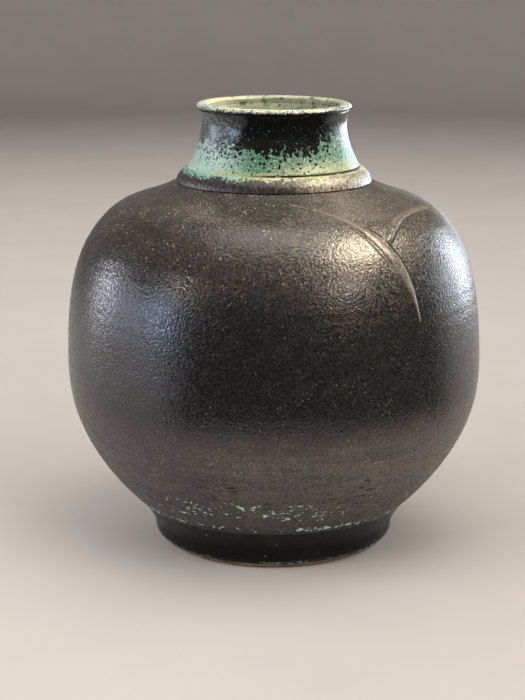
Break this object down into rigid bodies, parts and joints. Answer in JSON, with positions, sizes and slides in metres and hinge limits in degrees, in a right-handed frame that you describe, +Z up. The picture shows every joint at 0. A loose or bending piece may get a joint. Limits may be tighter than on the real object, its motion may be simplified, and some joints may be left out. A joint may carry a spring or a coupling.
{
  "type": "ceramic vase",
  "caption": "Round-bellied wheel-thrown stoneware vase with a turned foot, a short waisted neck with a rolled lip, a collar band and a forked clay ridge on the shoulder.",
  "frame": {"origin": "on the ground, under the middle of the foot ring", "axes": "+Z up along the axis that the vase was turned on, -Y towards the side with the shoulder ridge on its right"},
  "size_m": [0.25, 0.25, 0.2675],
  "materials": {
    "foot_glaze": "semi-gloss black glaze that stops above a bare orange-brown clay edge",
    "base_clay": "bare iron-brown stoneware underneath, liner glaze on top",
    "matte_glaze": "grey-brown matte black glaze with turning marks and pale green flecks",
    "satin_glaze": "satin black glaze with a fine orange-peel surface",
    "collar_glaze": "satin brown-black glaze",
    "copper_glaze": "glossy black glaze over copper green, speckled with black",
    "cream_glaze": "glossy cream glaze speckled with green",
    "ridge_glaze": "satin black glaze, thin and browner along the crest"
  },
  "bodies": {
    "root": {"foot_ring": "foot_glaze", "base_disc": "base_clay", "lower_body": "matte_glaze", "upper_body": "satin_glaze", "neck_collar": "collar_glaze", "neck": "copper_glaze", "lip": "cream_glaze", "shoulder_ridge_main": "ridge_glaze", "shoulder_ridge_branch": "ridge_glaze"}
  },
  "joints": []
}
